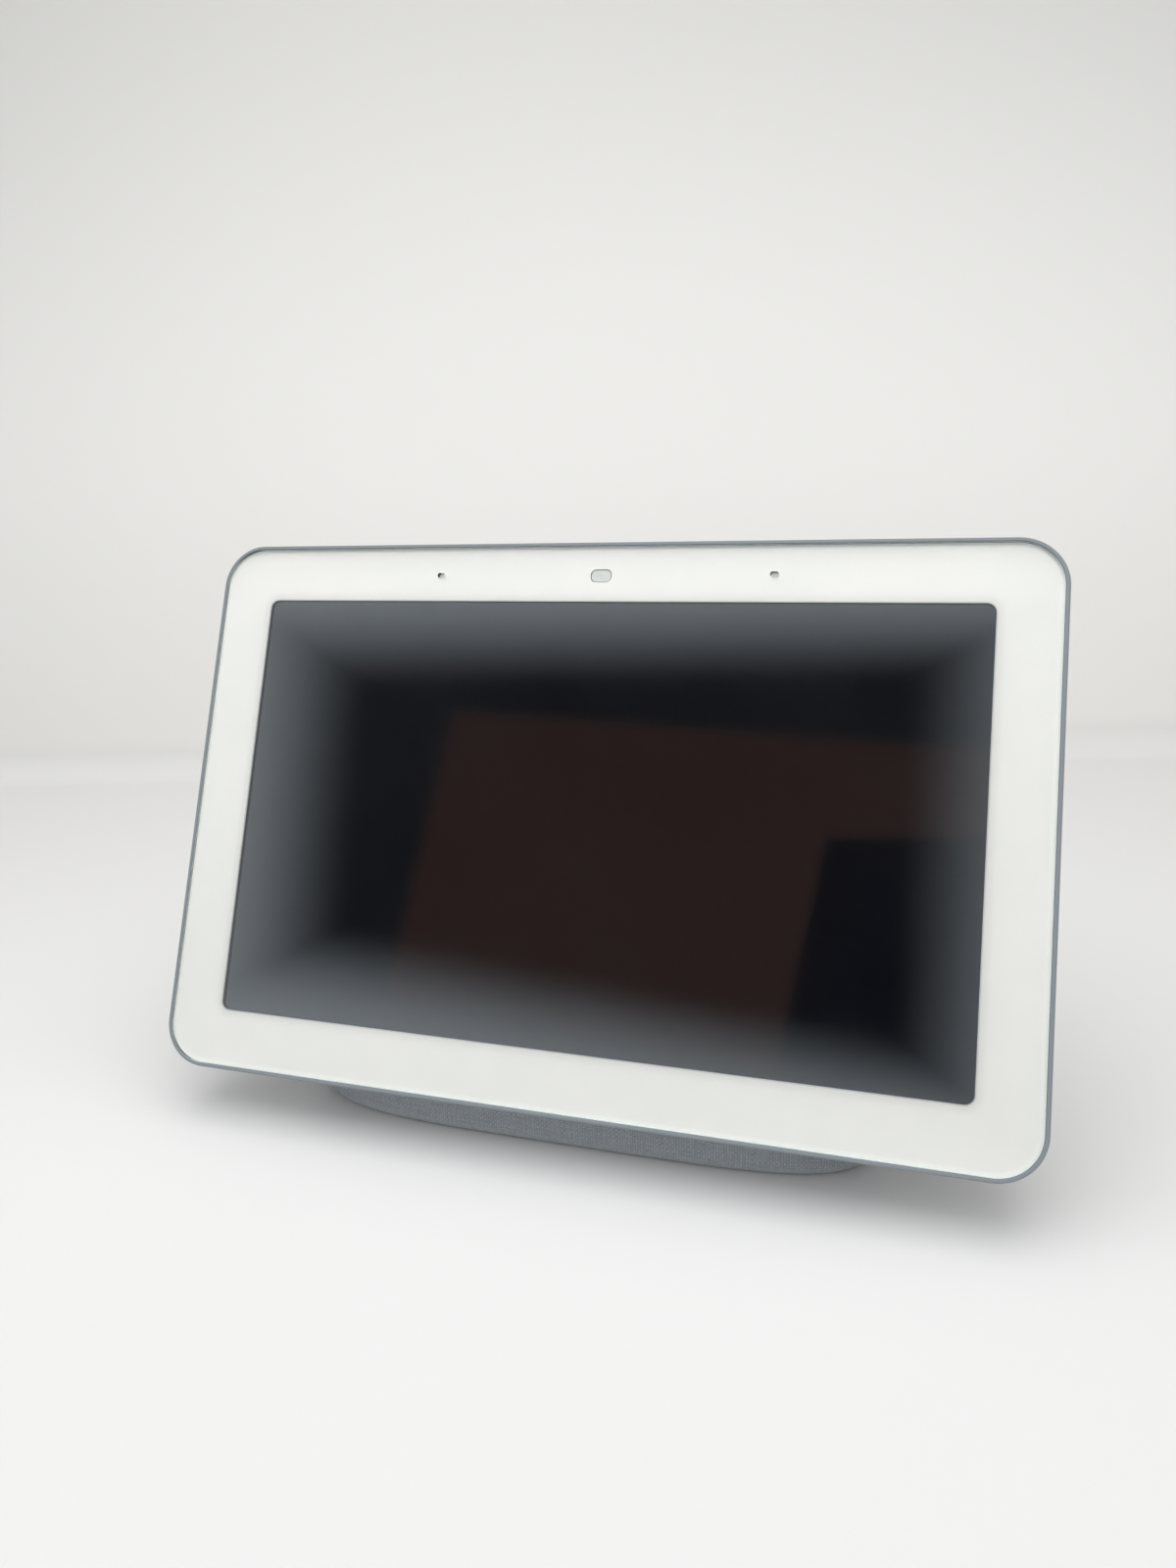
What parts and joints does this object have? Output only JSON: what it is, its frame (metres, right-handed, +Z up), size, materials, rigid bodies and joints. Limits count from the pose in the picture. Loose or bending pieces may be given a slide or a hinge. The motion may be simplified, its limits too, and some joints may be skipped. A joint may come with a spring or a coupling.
{
  "type": "smart display",
  "caption": "Tabletop smart display: a tilted glass screen head with a white border on a rounded fabric-covered speaker base.",
  "frame": {"origin": "centre of the footprint's bounding rectangle, on the surface the foot rests on", "axes": "+X to the right seen from the front, -Y the way the screen faces, +Z up"},
  "size_m": [0.1784, 0.0672, 0.118],
  "materials": {
    "clear_glass": "clear polished cover glass",
    "white_ink": "opaque white layer seen through the glass",
    "housing_grey": "fine matt moulded plastic, blue grey",
    "knit_grey": "fine woven polyester, blue grey",
    "foot_rubber": "matt silicone rubber",
    "lcd_black": "dark switched-off screen",
    "light_guide": "translucent white plastic",
    "sheet_steel": "plain pressed sheet",
    "spreader_aluminium": "plain sheet",
    "board_green": "circuit board with solder mask",
    "flex_amber": "polyimide film",
    "chip_black": "moulded black plastic",
    "gasket_rubber": "soft black foam and rubber",
    "inner_plastic": "matt black plastic",
    "screw_steel": "plated steel",
    "magnet_metal": "black painted steel",
    "cone_paper": "pressed black paper pulp",
    "pin_brass": "turned brass",
    "lead_jacket": "soft black lead jacket"
  },
  "bodies": {
    "display": {"front_glass": "clear_glass", "white_border": "white_ink", "display_adhesive": "gasket_rubber", "lcd_panel": "lcd_black", "backlight_unit": "light_guide", "mid_frame": "sheet_steel", "heat_spreader": "spreader_aluminium", "processor_shield": "sheet_steel", "main_board": "board_green", "lcd_flex": "flex_amber", "touch_flex": "flex_amber", "sensor_board": "board_green", "microphone_left": "chip_black", "microphone_right": "chip_black", "mic_gasket_left": "gasket_rubber", "mic_gasket_right": "gasket_rubber", "light_sensor": "chip_black", "light_pipe": "light_guide", "antenna_left": "flex_amber", "antenna_right": "flex_amber", "rear_housing": "housing_grey", "mute_switch_body": "sheet_steel", "volume_board": "board_green", "volume_down_switch": "sheet_steel", "volume_up_switch": "sheet_steel", "fabric_sleeve": "knit_grey", "base_shell": "housing_grey", "base_plate": "inner_plastic", "rubber_foot": "foot_rubber", "base_screw_1": "screw_steel", "base_screw_2": "screw_steel", "base_screw_3": "screw_steel", "base_screw_4": "screw_steel", "neck_bracket": "sheet_steel", "neck_screw_1": "screw_steel", "neck_screw_2": "screw_steel", "neck_screw_3": "screw_steel", "neck_screw_4": "screw_steel", "speaker_basket": "magnet_metal", "speaker_magnet": "magnet_metal", "speaker_gasket": "gasket_rubber", "speaker_surround": "gasket_rubber", "speaker_spider": "flex_amber", "speaker_cable": "lead_jacket", "power_lead": "lead_jacket", "dc_jack": "inner_plastic", "dc_jack_pin": "pin_brass", "jack_board": "board_green"},
    "mute_control": {"mute_slider": "housing_grey", "mute_switch_lever": "chip_black"},
    "volume_control": {"volume_rocker": "housing_grey"},
    "volume_up_button": {"volume_up_plunger": "chip_black"},
    "volume_down_button": {"volume_down_plunger": "chip_black"},
    "speaker_motor": {"speaker_cone": "cone_paper", "speaker_dust_cap": "cone_paper", "voice_coil": "flex_amber"}
  },
  "joints": [
    {"name": "mute_slide", "type": "slide", "parent": "display", "child": "mute_control", "axis": [1, 0, 0], "range_m": [0, 0.0025]},
    {"name": "volume_rocker_tilt", "type": "hinge", "parent": "display", "child": "volume_control", "pos_m": [0.0815, 0.00473, 0.07898], "axis": [1, 0, 0], "range_deg": [-2.5, 2.5], "stiffness_Nm_per_rad": 0.25},
    {"name": "volume_up_press", "type": "slide", "parent": "display", "child": "volume_up_button", "axis": [0, -0.9063, 0.4226], "range_m": [0, 0.00025], "stiffness_N_per_m": 400},
    {"name": "volume_down_press", "type": "slide", "parent": "display", "child": "volume_down_button", "axis": [0, -0.9063, 0.4226], "range_m": [0, 0.00025], "stiffness_N_per_m": 400},
    {"name": "speaker_cone_travel", "type": "slide", "parent": "display", "child": "speaker_motor", "axis": [0, 1, 0], "range_m": [-0.0015, 0.0015], "stiffness_N_per_m": 1500, "deforming": ["speaker_surround", "speaker_spider"]}
  ]
}
